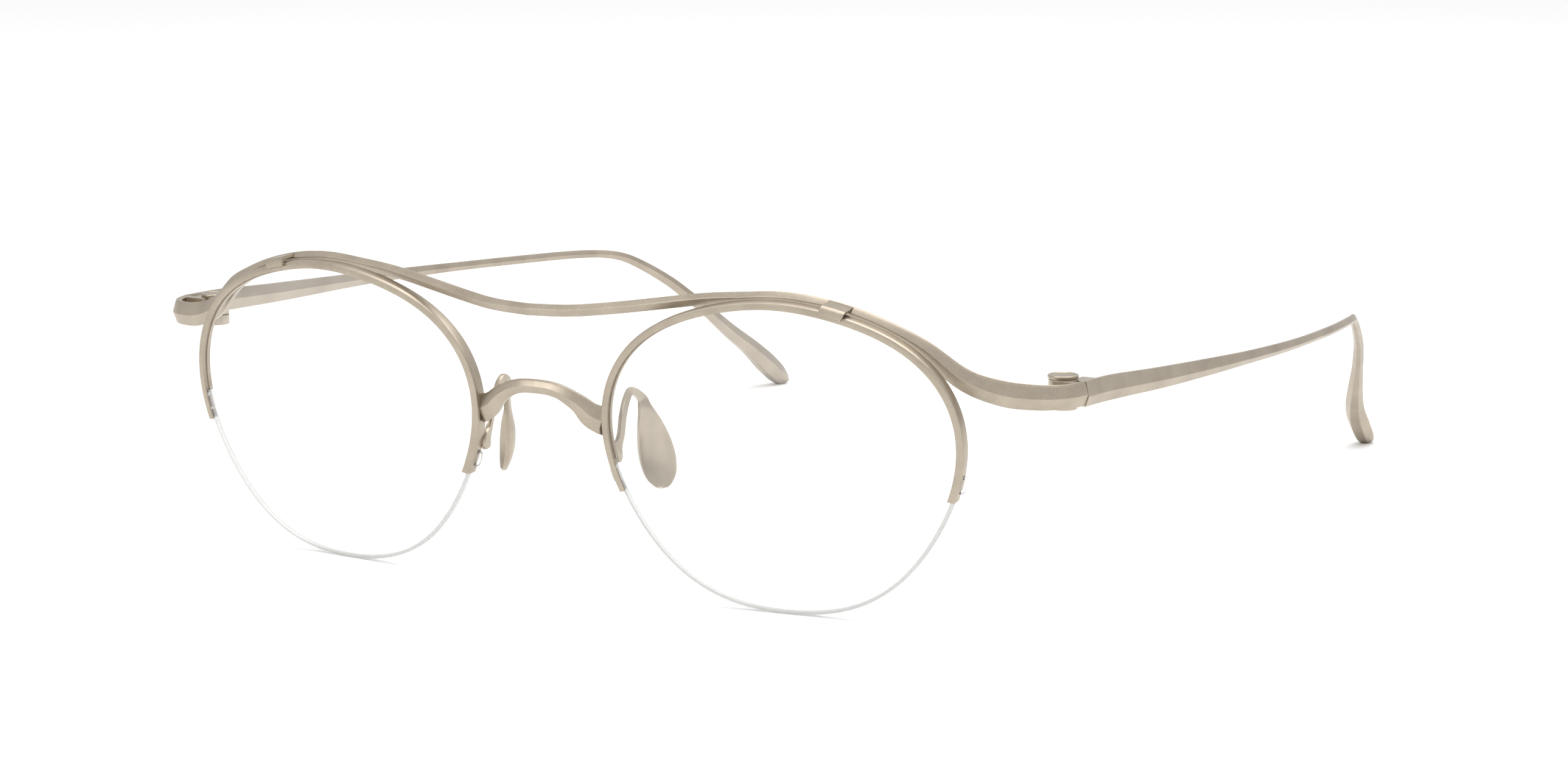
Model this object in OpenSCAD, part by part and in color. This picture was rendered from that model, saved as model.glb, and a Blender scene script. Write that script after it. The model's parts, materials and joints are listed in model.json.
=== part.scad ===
// Half-rim eyeglasses with a brow bar: two upper rims, a brow bar that runs from hinge to
// hinge, a lower bridge, grooved lenses held up by nylon cords, sheet nose pads, folding temples.
// +Z is up, the front looks along -Y, the temples run towards +Y, and X = 0 is the mirror plane.

/* [Lenses] */
// Widest size of a lens
lens_w = 49; // [42:0.5:59]
// Tallest size of a lens
lens_h = 40.6; // [34:0.2:49]
// How much the outline's upper corners swell
lens_shoulder = 0.76; // [0:0.02:1.2]
// How much the outline's sides square up
lens_square = 0.32; // [0:0.02:0.6]
// Thickness at the edge
lens_edge = 1.5; // [1.3:0.1:1.8]
// Radius of the lens's front surface
lens_curve_r = 120; // [90:5:200]
// Depth of the groove around the edge
groove_depth = 0.45; // [0.35:0.05:0.55]
// Width of the groove around the edge
groove_w = 0.6; // [0.4:0.05:0.8]

/* [Front] */
// Gap between the two lenses at their nearest
bridge_gap = 20; // [16:0.5:26]
// How far each lens turns back towards its temple side, degrees
face_wrap = 6.2; // [0:0.2:10]
// How far each lens leans, top forward, degrees
lean = 5.3; // [0:0.2:10]
// Height of the lens centres below the tops of the hinges
lens_drop = 11.2; // [8:0.2:15]
// Distance of the lens centres in front of the hinge axes
lens_reach = 18; // [14:0.5:24]
// Hinge axis to the lens's temple edge
end_reach = 7.3; // [6.5:0.1:10]

/* [Rims] */
// Front face of a rim, in to out
rim_face = 0.88; // [0.6:0.02:1.2]
// Thickness of the front lip
rim_lip = 0.22; // [0.2:0.02:0.4]
// Thickness of the outer wall
rim_wall = 0.26; // [0.2:0.02:0.5]
// Depth of a rim, front to back
rim_depth = 1.5; // [1.3:0.05:2.2]
// Angle below the lens centre where a rim ends on the temple side
rim_end_temple = 10; // [0:1:20]
// Angle below the lens centre where a rim ends on the nose side
rim_end_nose = 16; // [4:1:26]
// Gap between the lens and the rim
lens_fit = 0.04; // [0.02:0.01:0.1]

/* [Brow bar] */
// How far the bar's ridge stands out from the lens edge
bar_rise = 0.55; // [0.4:0.05:1.2]
// How far the ridge lies behind the front surface of the lens
bar_back = 1.6; // [1.5:0.05:2.4]
// Height of the ridge at the middle of the front
bar_mid_z = 5.9; // [4:0.1:9]
// Reach of the ridge at the middle, in front of the hinge axes
bar_mid_reach = 21.6; // [18:0.1:25]
// Height of the bar over the nose
bar_h = 1.6; // [1.2:0.05:2.2]
// Height of the bar at its end pieces
end_h = 3.3; // [2.6:0.1:4]
// Thickness of the bar
bar_t = 1.3; // [1:0.05:1.6]

/* [Lower bridge] */
// Height of the arch's crown, below the tops of the hinges
arch_drop = 4.5; // [2:0.1:7]
// Reach of the crown, in front of the hinge axes
arch_reach = 19.9; // [17:0.1:23]
// Height of the arch at its crown
arch_h = 1.9; // [1.4:0.1:2.6]
// Thickness of the arch
arch_t = 1.3; // [1:0.05:1.8]

/* [Nose pads] */
// Length of the pad below its neck
pad_l = 11.6; // [9:0.2:15]
// Width of the dished pad
pad_w = 4.8; // [4:0.1:7]
// Thickness of the pad's sheet
pad_t = 0.6; // [0.4:0.05:0.9]
// Depth of the dish
pad_dish = 0.9; // [0.4:0.1:1.4]
// Width of the arm
arm_w = 0.9; // [0.7:0.05:1.5]

/* [Cords] */
// Diameter of the nylon cord
cord_d = 0.5; // [0.4:0.05:0.6]

/* [Hinges] */
// Radius of the knuckles
knuckle_r = 1.85; // [1.5:0.05:2.2]
// Height of the upper knuckle
knuckle_up = 0.9; // [0.8:0.05:1.4]
// Height of the temple's knuckle
knuckle_mid = 1.25; // [1:0.05:1.6]
// Height of the lower knuckle
knuckle_low = 1.35; // [1:0.05:1.6]
// Radius of the screw's shaft
screw_r = 0.6; // [0.5:0.05:0.8]
// Radius of the screw's wide head
head_r = 1.97; // [1.6:0.05:2.3]
// Height of the screw's head
head_h = 0.55; // [0.4:0.05:0.8]
// Thickness of a washer
washer_t = 0.1; // [0.08:0.01:0.2]
// How far in front of the hinge axis the end piece and the temple meet
seam_reach = 1.7; // [1.2:0.1:2]
// Radial gap between the screw and what turns on it
turn_gap = 0.03; // [0.02:0.01:0.06]
// Gap between faces that pass each other
face_gap = 0.03; // [0.02:0.01:0.06]

/* [Temples] */
// Hinge axis to the tip, along the temple
temple_len = 145; // [125:1:174]
// Height of the temple at the hinge
temple_h = 3.2; // [2.6:0.1:4]
// Thickness of the temple at the hinge
temple_t = 1.4; // [1.2:0.05:1.8]
// Thickness of the round wire at the ear
wire_d = 1.2; // [1.1:0.05:1.6]
// Width of the paddle at the tip
tip_w = 3.2; // [2.6:0.1:4.2]
// Thickness of the paddle at the tip
tip_t = 3.5; // [2.4:0.1:4]

/* [Hidden] */
$fn = 48;

lens_x = bridge_gap / 2 + lens_w / 2 * cos(face_wrap) + 0.2;
hinge_x = lens_x + lens_w / 2 * cos(face_wrap) + end_reach;

lens_back = [-cos(lean) * sin(face_wrap), cos(lean) * cos(face_wrap), sin(lean)];
// Outer ridge of the end pieces and temples, measured from the hinge axis
wall_x = 4.6;

// ---- vectors and curves ----
function unit(v) = v / norm(v);
function flat(lists) = [for (list = lists) for (item = list) item];
function mix(a, b, t) = a + (b - a) * t;
function clamp(t) = max(0, min(1, t));
function ease(t) = let (u = clamp(t)) u * u * (3 - 2 * u);
function rot_z(v, a) = [v.x * cos(a) - v.y * sin(a), v.x * sin(a) + v.y * cos(a), v.z];
function rot_x(v, a) = [v.x, v.y * cos(a) - v.z * sin(a), v.y * sin(a) + v.z * cos(a)];

// A smooth curve through the points p, with n steps between neighbours
function knot(p, i) = i < 0 ? 2 * p[0] - p[1]
  : i >= len(p) ? 2 * p[len(p) - 1] - p[len(p) - 2] : p[i];
function span(a, b, c, d, t) = 0.5 * (2 * b + (c - a) * t + (2 * a - 5 * b + 4 * c - d) * t * t
  + (3 * b - a - 3 * c + d) * t * t * t);
function smooth(p, n) = concat([for (i = [0 : len(p) - 2], k = [0 : n - 1])
  span(knot(p, i - 1), knot(p, i), knot(p, i + 1), knot(p, i + 2), k / n)], [p[len(p) - 1]]);

// Direction of travel at point i, and a section's points laid across it
function along(p, i) = unit(p[min(i + 1, len(p) - 1)] - p[max(i - 1, 0)]);
function outward(t) = unit(cross(t, [0, 0, 1]));
function lay(at, t, section) = let (o = outward(t), u = cross(o, t))
  [for (s = section) at + s.x * o + s.y * u];
// The same, for a route that stays beside the lens edge
function lay_flat(at, t, section) = let (o = unit(cross(t, lens_back)), u = cross(o, t))
  [for (s = section) at + s.x * o + s.y * u];
function mirrored(rings) = [for (i = [len(rings) - 1 : -1 : 0])
  [for (p = rings[i]) [-p.x, p.y, p.z]]];

// The middle of a ring, or of those of its points that core lists
function middle(ring, core) = let (at = is_undef(core) ? [for (k = [0 : len(ring) - 1]) k] : core)
  [for (k = at) 1] * [for (k = at) ring[k]] / len(at);
// A closed skin over rings that all have the same number of points. Each end is a fan around its
// middle, so an angled section names two corners in core that have its own middle between them
module skin(rings, core) {
  n = len(rings[0]);
  m = len(rings);
  first = middle(rings[0], core);
  last = middle(rings[m - 1], core);
  polyhedron(points = concat(flat(rings), [first, last]), faces = concat(
    [for (j = [0 : n - 1]) [m * n, (j + 1) % n, j]],
    flat([for (i = [0 : m - 2], j = [0 : n - 1])
      let (a = i * n + j, b = i * n + (j + 1) % n) [[a, b, b + n], [a, b + n, a + n]]]),
    [for (j = [0 : n - 1]) [m * n + 1, (m - 1) * n + j, (m - 1) * n + (j + 1) % n]]), convexity = 6);
}

// ---- lens frame: u across, v up, back = distance behind the lens's front surface ----
function outline(a) = (lens_w + lens_h) / 4 + (lens_w - lens_h) / 4 * cos(2 * a)
  + lens_shoulder * sin(3 * a) + lens_square * sin(5 * a);
function sag(u, v) = (u * u + v * v) / (2 * lens_curve_r);
function on_lens(u, v, back) = [lens_x, -lens_reach, -lens_drop]
  + rot_z(rot_x([u, sag(u, v) + back, v], lean), face_wrap);
// A point beside the lens edge at angle a, 0 on the temple side and 90 at the top
function at_edge(a, out, back) = let (r = outline(a) + out) on_lens(r * cos(a), r * sin(a), back);

// ---- what everything stands on ----
cord_r = cord_d / 2;
cord_out = cord_r - groove_depth;
cord_back = lens_edge / 2;
floor_z = -at_edge(270, cord_out + cord_r, cord_back).z;
bend_y = temple_len - 48;
middle_y = (bend_y + 37.28 - bar_mid_reach) / 2;
module stand() { translate([0, -middle_y, floor_z]) children(); }
module both(side) { if (side > 0) children(); else mirror([1, 0, 0]) children(); }

// ---- brow bar ----
rim_back = rim_depth - rim_lip - lens_fit;
rim_out = lens_fit + rim_wall;
// Roof-shaped section with its ridge at the origin: up is the height above the ridge
function roof(h, up, t, slope) = [[0, 0], [-slope * 0.9, up - 0.12 * h], [-slope - 0.15, up],
  [-t, up - 0.15], [-t, up - h + 0.2], [-slope - 0.1, up - h]];
// Route of the ridge, then how far the height has grown from bar_h to end_h there
bar_stops = [[0, -bar_mid_reach, bar_mid_z, 0], [6, -bar_mid_reach + 0.5, bar_mid_z + 0.2, 0],
  concat(at_edge(142, bar_rise + 4.8, bar_back - 2.7), 0),
  concat(at_edge(132, bar_rise + 2.15, bar_back - 1.2), 0),
  concat(at_edge(118, bar_rise + 0.7, bar_back - 0.3), 0), concat(at_edge(103, bar_rise, bar_back), 0),
  concat(at_edge(88, bar_rise, bar_back), 0.03), concat(at_edge(72, bar_rise, bar_back), 0.08),
  concat(at_edge(57, bar_rise, bar_back), 0.1), concat(at_edge(45, bar_rise, bar_back), 0.22),
  concat(at_edge(36, bar_rise + 0.25, bar_back + 0.1), 0.45),
  concat(at_edge(24, bar_rise + 1.1, bar_back + 0.7), 0.75),
  [hinge_x - 3.8, -9.6, -1.6, 1], [hinge_x - 0.8, -8.5, -1.95, 1], [hinge_x + 1.8, -7.2, -2, 0.95],
  [hinge_x + 3.6, -4.9, -2, 0.9], [hinge_x + wall_x - 0.2, -seam_reach - face_gap, -2, 0.92]];
module brow_bar() {
  line = smooth(bar_stops, 3);
  route = [for (s = line) [s.x, s.y, s.z]];
  n = len(route) - 1;
  half = [for (i = [0 : n]) let (grow = line[i][3], h = mix(bar_h, end_h, grow),
      t = i == 0 ? [1, 0, 0] : i == n ? [0, 1, 0] : along(route, i))
    lay(route[i], t, roof(h, mix(0.42, 0.55, grow) * h, bar_t, mix(0.5, 0.4, grow)))];
  color("#b9ad9c") stand() difference() {
    skin(concat(mirrored([for (i = [1 : n]) half[i]]), half));
    for (side = [-1, 1]) both(side) clip_recess();
  }
}

// ---- rims, liners, lenses and cords, in the lens frame ----
function ring(a, section) = [for (s = section) at_edge(a, s.x, s.y)];
// Rings from one angle to another, in step with the lens's own facets
facet = 6;
function arc_rings(from, to, section) = concat([ring(from, section)],
  [for (i = [ceil(from / facet + 0.2) : floor(to / facet - 0.2)]) ring(i * facet, section)],
  [ring(to, section)]);
rim_edge = 0.2;
hole_r = cord_r + 0.05;
temple_holes = [3 - rim_end_temple, 7.6 - rim_end_temple];
nose_holes = [177 + rim_end_nose, 172.6 + rim_end_nose];
module hole(a) {
  at = at_edge(a, 0, cord_back);
  d = unit(at_edge(a, 1, cord_back) - at);
  translate(at) rotate([0, acos(d.z), atan2(d.y, d.x)])
    translate([0, 0, lens_fit - 0.2]) cylinder(r = hole_r, h = rim_wall + 0.4, $fn = 12);
}
module rim(side) {
  front = -lens_fit - rim_lip;
  color("#b8ac9b") stand() both(side) difference() {
    skin(arc_rings(-rim_end_temple, 180 + rim_end_nose, [[rim_edge - rim_face, front],
      [rim_edge - rim_face, -lens_fit], [lens_fit, -lens_fit], [lens_fit, rim_back],
      [rim_out, rim_back], [rim_out, 0.1], [rim_edge, front]]), core = [2, 6]);
    for (a = concat(temple_holes, nose_holes)) hole(a);
  }
}
module rim_left() { rim(-1); }
module rim_right() { rim(1); }

// The metal rib that stands in the upper half of the lens's groove
module rim_liner(side) {
  w = groove_w / 2 - 0.03;
  color("#a99d8b") stand() both(side) skin(arc_rings(temple_holes[1] + 2, nose_holes[1] - 2,
    [[0.03 - groove_depth, cord_back - w], [0.03 - groove_depth, cord_back + w],
    [lens_fit, cord_back + w], [lens_fit, cord_back - w]]));
}
module rim_liner_left() { rim_liner(-1); }
module rim_liner_right() { rim_liner(1); }

// One turn around the lens at a share f of the outline, moved out and back
function turn(f, out, back) = [for (a = [0 : facet : 354]) let (r = outline(a) * f + out)
  on_lens(r * cos(a), r * sin(a), back)];
module lens(side) {
  g = groove_w / 2;
  bevel = 0.12;
  color("#eef2f2", 0.35) stand() both(side) skin([turn(0.3, 0, 0), turn(0.65, 0, 0),
    turn(1, -bevel, 0), turn(1, 0, bevel), turn(1, 0, cord_back - g),
    turn(1, -groove_depth, cord_back - g), turn(1, -groove_depth, cord_back + g),
    turn(1, 0, cord_back + g), turn(1, 0, lens_edge - bevel), turn(1, -bevel, lens_edge),
    turn(0.65, 0, lens_edge), turn(0.3, 0, lens_edge)]);
}
module lens_left() { lens(-1); }
module lens_right() { lens(1); }

// The cord leaves the groove through the lower hole, loops outside and returns by the upper one
function cord_end(holes, way) = let (top = rim_out + cord_r + 0.1)
  [at_edge(holes[1], cord_out, cord_back), at_edge(holes[1], rim_out, cord_back),
  at_edge(holes[1] - way * 0.6, top, cord_back), at_edge(holes[0] + way * 0.6, top, cord_back),
  at_edge(holes[0], rim_out, cord_back), at_edge(holes[0] - way * 0.3, cord_out + 0.1, cord_back)];
function back_to_front(p) = [for (i = [len(p) - 1 : -1 : 0]) p[i]];
module nylon_cord(side) {
  way = [for (i = [floor((temple_holes[0] - 3) / facet) : -1 : ceil((nose_holes[0] - 357) / facet)])
    at_edge(i * facet, cord_out, cord_back)];
  route = concat(smooth(cord_end(temple_holes, 1), 3), way,
    back_to_front(smooth(cord_end(nose_holes, -1), 3)));
  circle8 = [for (k = [0 : 7]) cord_r * [cos(45 * k), sin(45 * k)]];
  color("#f4f4f2") stand() both(side)
    skin([for (i = [0 : len(route) - 1]) lay_flat(route[i], along(route, i), circle8)]);
}
module nylon_cord_left() { nylon_cord(-1); }
module nylon_cord_right() { nylon_cord(1); }

// ---- clips that tie the bar to the rims ----
clip_angles = [62.8, 71.3];
clip_t = 0.42;
clip_gap = 0.03;
clip_top = bar_rise + 0.55;
clip_back = bar_back + 0.45;
// Room for the clip's lid in the top of the bar
module clip_recess() {
  low = clip_top - clip_t - clip_gap;
  back = clip_back + clip_gap;
  skin([for (a = [clip_angles[0] - 0.2, clip_angles[1] + 0.2])
    ring(a, [[low, -1.5], [low, back], [low + 1, back], [low + 1, -1.5]])]);
}
module bar_clip(side) {
  face = -lens_fit - rim_lip;
  front = face - clip_t;
  low = rim_edge - 0.3;
  color("#b7ab9a") stand() both(side) skin([for (i = [0 : 4])
    ring(mix(clip_angles[0], clip_angles[1], i / 4), [[low, face], [clip_top - clip_t, face],
      [clip_top - clip_t, clip_back], [clip_top, clip_back], [clip_top, front + 0.25],
      [clip_top - 0.25, front], [low, front]])], core = [1, 5]);
}
module bar_clip_left() { bar_clip(-1); }
module bar_clip_right() { bar_clip(1); }

// ---- lower bridge ----
module bridge_arch() {
  arch_at = 174.2;
  foot = at_edge(arch_at, rim_out - 0.1, 0.05);
  // Share of the way from the crown to the foot, then the height there
  stops = [[0, 0, 0, arch_h], [0.2, 0.02, 0.02, arch_h], [0.36, 0.1, 0.1, 1.03 * arch_h],
    [0.52, 0.22, 0.27, 1.15 * arch_h], [0.68, 0.42, 0.5, 1.35 * arch_h],
    [0.83, 0.66, 0.82, 1.75 * arch_h], [1, 1, 1, 2 * arch_h]];
  crown = [0, -arch_reach, -arch_drop];
  inward = at_edge(arch_at, 0, 0) - at_edge(arch_at, 1, 0);
  into_rim = unit(inward - lens_back * (inward * lens_back));
  route = smooth([for (s = stops) [for (k = [0 : 2]) mix(crown[k], foot[k], s[k])]], 3);
  high = smooth([for (s = stops) [s[3]]], 3);
  n = len(route) - 1;
  half = [for (i = [0 : n]) let (h = high[i][0])
    lay(route[i], i == 0 ? [1, 0, 0] : i == n ? into_rim : along(route, i), roof(h, 0.5 * h, arch_t, 0.4))];
  color("#b6aa99") stand() skin(concat(mirrored([for (i = [1 : n]) half[i]]), half));
}

// ---- nose pads ----
// A J cut from sheet and soldered on edge behind the rim: the arm rises from its foot, turns over
// at the top and widens into the dished pad
module nose_pad(side) {
  foot = at_edge(186.3, rim_out + 0.05, rim_back);
  top = foot + [-0.15, 6.2, 8.25];
  low = [top.x + 2.7, top.y + 2.2, top.z - pad_l - 1.3];
  // Place, width, dish, and which way the sheet faces in degrees
  arm = [for (p = [[0, 0.85, -0.6, 1.5], [0, 0.8, -0.1, 2.1], [0, 0.85, 0.9, 2.1], [0.02, 1.45, 1.9, 1.2],
      [0.05, 1.95, 3, 1], [0, 2.5, 5.2, 1], [-0.05, 3.5, 7.3, 1], [-0.1, 4.8, 8.2, 1.05]])
    concat(foot + [p.x, p.y, p.z], [p[3] * arm_w, 0, 15])];
  pad = [for (p = [[0.09, 0.25, 0, 16], [0.2, 0.42, 0.05, 22], [0.36, 0.72, 0.35, 32], [0.55, 0.95, 0.9, 40],
      [0.72, 1, 1, 42], [0.87, 0.85, 0.7, 42], [0.965, 0.5, 0.3, 42], [1, 0.2, 0.1, 42]])
    concat([for (k = [0 : 2]) mix(top[k], low[k], pow(p[0], k == 2 ? 1 : 0.75))],
      [p[1] * pad_w, p[2] * pad_dish, p[3]])];
  line = smooth(concat(arm, pad), 3);
  route = [for (s = line) [s.x, s.y, s.z]];
  color("#b9ad9c") stand() both(side) skin([for (i = [0 : len(line) - 1])
    let (t = along(route, i), facing = [cos(line[i][5]), -sin(line[i][5]), 0],
      w = unit(cross(facing, t)), n = cross(t, w), dish = line[i][4])
    [for (s = [[-1, 0.5], [-0.5, 0.5], [0, 0.5], [0.5, 0.5], [1, 0.5], [1, -0.5], [0.5, -0.5],
        [0, -0.5], [-0.5, -0.5], [-1, -0.5]])
      route[i] + s[0] * line[i][3] / 2 * w + (s[1] * pad_t - dish * (1 - s[0] * s[0])) * n]]);
}
module nose_pad_left() { nose_pad(-1); }
module nose_pad_right() { nose_pad(1); }

// ---- hinges: heights run down from the top of the screw's head ----
z_up = -head_h - knuckle_up;
z_mid_top = z_up - washer_t - 2 * face_gap;
z_mid = z_mid_top - knuckle_mid;
z_low_top = z_mid - washer_t - 2 * face_gap;
z_low = z_low_top - knuckle_low;
module at_hinge(side) { stand() both(side) translate([hinge_x, 0, 0]) children(); }
module drum(top, bottom, r) { translate([0, 0, bottom]) cylinder(r = r, h = top - bottom); }

// Two knuckles and the stepped leaf that joins them to the inner side of the end piece
module hinge_front(side) {
  leaf_x = wall_x - bar_t - 0.1;
  leaf_top = -head_h + 0.1;
  leaf_h = 2.9;
  color("#c0b4a3") at_hinge(side) difference() {
    union() {
      drum(-head_h, z_up, knuckle_r);
      drum(z_low_top, z_low, knuckle_r);
      translate([0, -seam_reach - 1.3, leaf_top - leaf_h]) cube([leaf_x, 1.3 - face_gap, leaf_h]);
      translate([0, -seam_reach - 0.1, leaf_top - leaf_h]) cube([knuckle_r + 0.4, seam_reach, leaf_h]);
    }
    drum(z_up, z_low_top, knuckle_r + 0.08);
    drum(1, z_low - 1, screw_r);
  }
}
module hinge_front_left() { hinge_front(-1); }
module hinge_front_right() { hinge_front(1); }

// The middle knuckle and the leaf that carries it on the temple
module hinge_rear(side) {
  leaf_x = wall_x - temple_t + 0.1;
  color("#bfb3a2") at_hinge(side) difference() {
    union() {
      drum(z_mid_top, z_mid, knuckle_r);
      translate([0.8, face_gap, z_mid]) cube([leaf_x - 0.8, 3, knuckle_mid]);
      translate([1, face_gap, -3.3]) difference() {
        cube([leaf_x - 1, 3.4, 2.6]);
        translate([-1, -face_gap, -2]) cylinder(r = knuckle_r + 0.08, h = 6);
      }
    }
    drum(1, z_low - 1, screw_r + turn_gap);
  }
}
module hinge_rear_left() { hinge_rear(-1); }
module hinge_rear_right() { hinge_rear(1); }

// A wide low head on a shaft that runs to the bottom of the lower knuckle
module hinge_screw(side) {
  bevel = 0.12;
  color("#c6baa9") at_hinge(side) rotate_extrude() polygon([[0, z_low + 0.05],
    [screw_r - bevel, z_low + 0.05], [screw_r, z_low + 0.05 + bevel], [screw_r, -head_h],
    [head_r, -head_h], [head_r, -bevel], [head_r - bevel, 0], [0, 0]]);
}
module hinge_screw_left() { hinge_screw(-1); }
module hinge_screw_right() { hinge_screw(1); }

module hinge_washers(side) {
  color("#8d8275") at_hinge(side) for (top = [z_up - face_gap, z_mid - face_gap])
    difference() {
      drum(top, top - washer_t, knuckle_r - 0.1);
      drum(1, z_low - 1, screw_r + turn_gap);
    }
}
module hinge_washers_left() { hinge_washers(-1); }
module hinge_washers_right() { hinge_washers(1); }

// ---- temples ----
// Lens-shaped section with a ridge on its outer and its inner side, centred on the route
function leaf_section(h, t, s) = [[t / 2, -0.1 * h], [t / 2 - s, h / 2], [s - t / 2, h / 2],
  [-t / 2, 0], [s - t / 2, -h / 2], [t / 2 - s, -h / 2]];
temple_x = hinge_x + wall_x - temple_t / 2;
ear = [hinge_x - 3, bend_y + 3, -7];
tip = [hinge_x - 14.3, bend_y + 36.6, 0.5 - floor_z];
// Shares of the way from ear to tip, in each direction, along the drop behind the ear
drop = [[0.133, 0.14, 0.078], [0.3, 0.31, 0.215], [0.442, 0.425, 0.34], [0.593, 0.535, 0.47],
  [0.735, 0.635, 0.6], [0.87, 0.745, 0.725], [0.945, 0.855, 0.85], [1, 1, 1]];
temple_route = smooth(concat([[temple_x - 0.15, face_gap - seam_reach, -1.95], [temple_x, 0.06 * bend_y, -2.15],
  [temple_x + 0.6, 0.21 * bend_y, -2.95], [temple_x + 1.1, 0.42 * bend_y, -3.8],
  [temple_x + 0.4, 0.62 * bend_y, -4.65], [hinge_x + 2, 0.82 * bend_y, -5.5],
  [hinge_x - 0.7, bend_y - 3.5, -6.15], ear],
  [for (d = drop) [for (k = [0 : 2]) mix(ear[k], tip[k], d[k])]]), 4);
function part_way(stops, u) = let (i = max([for (k = [0 : len(stops) - 2]) u >= stops[k][0] ? k : 0]),
  a = stops[i], b = stops[i + 1]) mix(a, b, clamp((u - a[0]) / (b[0] - a[0])));
module temple(side) {
  n = len(temple_route) - 1;
  // Share of the way along, height, thickness and depth of the side's slopes
  sizes = [[0, temple_h, temple_t, 0.42], [0.071, temple_h, temple_t, 0.42],
    [0.143, 0.83 * temple_h, temple_t, 0.42], [0.214, 0.54 * temple_h, temple_t - 0.1, 0.42],
    [0.286, wire_d + 0.1, wire_d, 0.38], [0.43, wire_d - 0.05, wire_d - 0.05, 0.36],
    [0.571, wire_d, wire_d, 0.38], [0.714, wire_d + 0.4, wire_d + 0.3, 0.5],
    [0.857, 0.8 * tip_w, 0.8 * tip_t, 0.75], [0.93, tip_w, tip_t, 0.95],
    [0.975, 0.97 * tip_w, 0.97 * tip_t, 0.95], [1, 0.66 * tip_w, 0.66 * tip_t, 0.6]];
  color("#b8ac9b") stand() both(side) difference() {
    skin([for (i = [0 : n]) let (z = part_way(sizes, i / n))
      lay(temple_route[i], i == 0 ? [0, 1, 0] : along(temple_route, i), leaf_section(z[1], z[2], z[3]))]);
    translate([0, 0, -floor_z - 5]) translate([hinge_x - 30, bend_y, 0]) cube([30, 60, 5]);
  }
}
module temple_left() { temple(-1); }
module temple_right() { temple(1); }

brow_bar();
rim_left();
rim_right();
rim_liner_left();
rim_liner_right();
lens_left();
lens_right();
nylon_cord_left();
nylon_cord_right();
bar_clip_left();
bar_clip_right();
bridge_arch();
nose_pad_left();
nose_pad_right();
hinge_front_left();
hinge_front_right();
hinge_screw_left();
hinge_screw_right();
hinge_washers_left();
hinge_washers_right();
hinge_rear_left();
hinge_rear_right();
temple_left();
temple_right();
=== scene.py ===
"""Half-rim eyeglasses with a brow bar: the visible pieces, in satin titanium, lens plastic and nylon.

Lengths are in millimetres from the middle of the front, level with the tops of the hinges, and
shaped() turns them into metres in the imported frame.
"""

import json
import math

import bmesh
import bpy
import numpy as np
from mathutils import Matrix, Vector


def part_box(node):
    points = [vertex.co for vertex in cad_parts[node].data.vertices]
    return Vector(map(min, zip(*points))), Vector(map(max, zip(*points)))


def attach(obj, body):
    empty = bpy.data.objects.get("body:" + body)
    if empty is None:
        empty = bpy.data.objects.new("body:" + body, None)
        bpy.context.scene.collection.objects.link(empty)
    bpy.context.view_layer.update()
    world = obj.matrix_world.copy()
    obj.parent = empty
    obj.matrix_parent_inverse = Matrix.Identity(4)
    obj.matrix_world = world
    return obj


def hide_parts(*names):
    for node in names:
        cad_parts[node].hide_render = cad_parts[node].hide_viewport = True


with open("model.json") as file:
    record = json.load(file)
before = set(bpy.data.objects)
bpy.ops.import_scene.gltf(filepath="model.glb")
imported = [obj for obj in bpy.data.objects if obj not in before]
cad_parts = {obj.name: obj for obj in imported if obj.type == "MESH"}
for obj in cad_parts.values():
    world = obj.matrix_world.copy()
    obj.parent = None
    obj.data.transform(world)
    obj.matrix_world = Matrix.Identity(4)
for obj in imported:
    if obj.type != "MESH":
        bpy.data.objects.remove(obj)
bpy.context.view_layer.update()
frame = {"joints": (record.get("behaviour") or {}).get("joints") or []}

MM = 0.001
hinge = next(j for j in frame["joints"] if j["name"] == "temple_fold_right")
HINGE_X = hinge["pos_m"][0] / MM
# The middle of the front, level with the hinge axes and the tops of the hinge screws
ORIGIN = Vector((0, hinge["pos_m"][1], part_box("hinge_screw_right")[1].z))
FLOOR_Z = ORIGIN.z / MM
SIDES = {"left": -1, "right": 1}

# ---- sizes ----
LENS_W, LENS_H = 49, 40.6
LENS_SHOULDER, LENS_SQUARE = 0.76, 0.32
LENS_EDGE, LENS_CURVE_R = 1.5, 120
GROOVE_DEPTH, GROOVE_W = 0.45, 0.6
LENS_BEVEL, GROOVE_SOFT, GROOVE_CORNER = 0.12, 0.08, 0.1
BRIDGE_GAP, FACE_WRAP, LEAN = 20, 6.2, 5.3
LENS_DROP, LENS_REACH = 11.2, 18
RIM_FACE, RIM_LIP, RIM_WALL, RIM_DEPTH = 0.88, 0.22, 0.26, 1.5
RIM_EDGE, RIB_REACH = 0.2, 0.86
RIM_ENDS = (-10, 196)
# Angles of the cord's two holes at each end of a rim, and how far past them the solid wall and rib start
TEMPLE_HOLES = (RIM_ENDS[0] + 3, RIM_ENDS[0] + 7.6)
NOSE_HOLES = (RIM_ENDS[1] - 3, RIM_ENDS[1] - 7.4)
WALL_PAST, RIB_PAST = 1.5, 2
HOLE_GAP, HOLE_FROM, HOLE_TO = 0.05, -0.16, 0.6
LENS_FIT = 0.04
BAR_RISE, BAR_BACK = 0.55, 1.6
BAR_MID_Z, BAR_MID_REACH = 5.9, 21.6
BAR_H, BAR_END_H, BAR_T = 1.6, 3.3, 1.3
CLIP_ANGLES, CLIP_T, CLIP_GAP = (62.8, 71.3), 0.42, 0.03
CLIP_TOP, CLIP_BACK = BAR_RISE + 0.55, BAR_BACK + 0.45
ARCH_DROP, ARCH_REACH, ARCH_H, ARCH_T = 4.5, 19.9, 1.9, 1.3
PAD_L, PAD_W, PAD_T, PAD_DISH, ARM_W = 11.6, 4.8, 0.6, 1.15, 0.9
CORD_D = 0.5
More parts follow.
